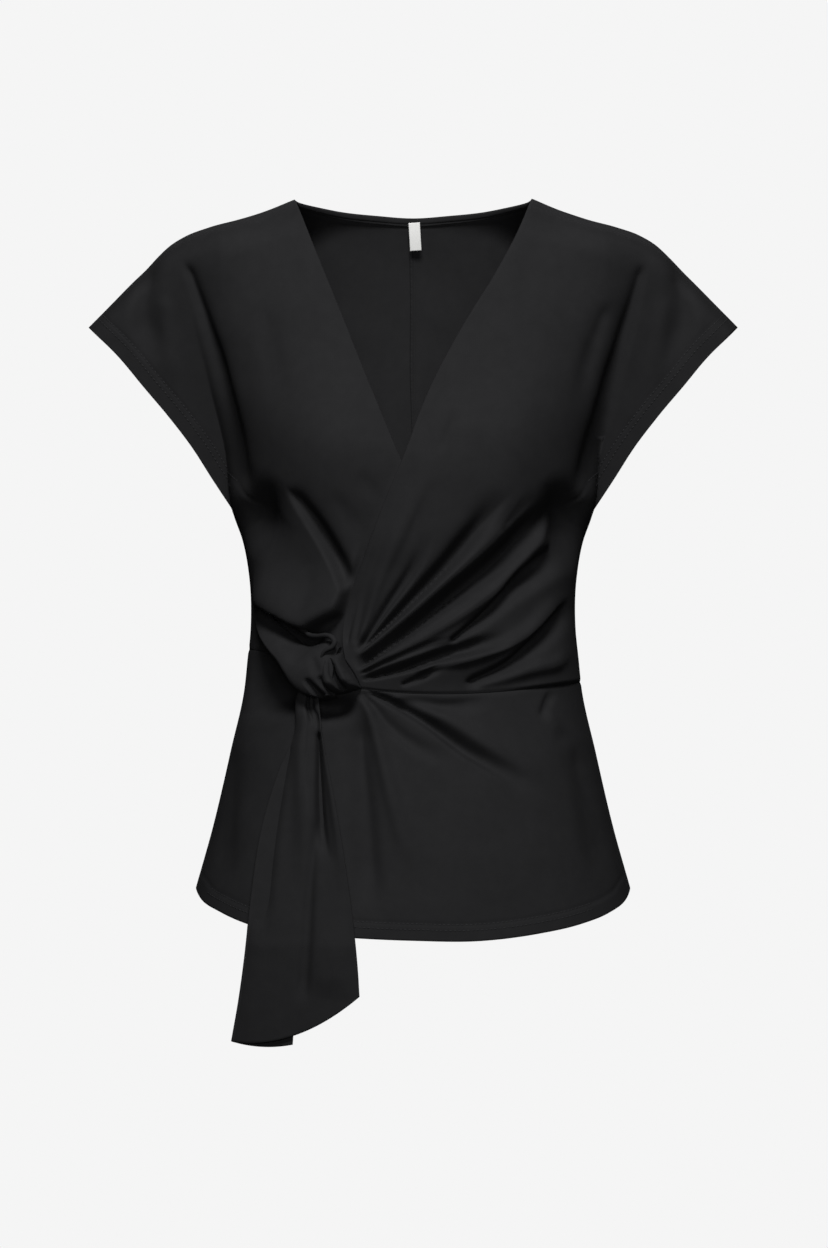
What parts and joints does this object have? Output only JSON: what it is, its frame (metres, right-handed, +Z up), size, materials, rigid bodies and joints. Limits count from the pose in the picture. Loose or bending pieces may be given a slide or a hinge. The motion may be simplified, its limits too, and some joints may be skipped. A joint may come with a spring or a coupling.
{
  "type": "twist-front top",
  "caption": "Hollow twist-front top in black jersey with cap sleeves, a wrap V neck, a side knot with gathers, a flared lower part and a hanging tie end.",
  "frame": {"origin": "on the shoulder line, midway between the two high neck points, where the wearer's shoulders carry the top", "axes": "+Z up, +X to the wearer's left (the right of the picture), +Y to the wearer's back, so the front faces -Y"},
  "size_m": [0.5205, 0.23, 0.66],
  "materials": {
    "black_jersey": "matte knitted",
    "white_woven_label": "woven satin"
  },
  "bodies": {
    "root": {"front_left": "black_jersey", "front_right": "black_jersey", "peplum_front": "black_jersey", "back_left": "black_jersey", "back_right": "black_jersey", "back_neck_binding": "black_jersey", "tie_band": "black_jersey", "knot": "black_jersey", "tie_tail": "black_jersey", "neck_label": "white_woven_label"}
  },
  "joints": []
}
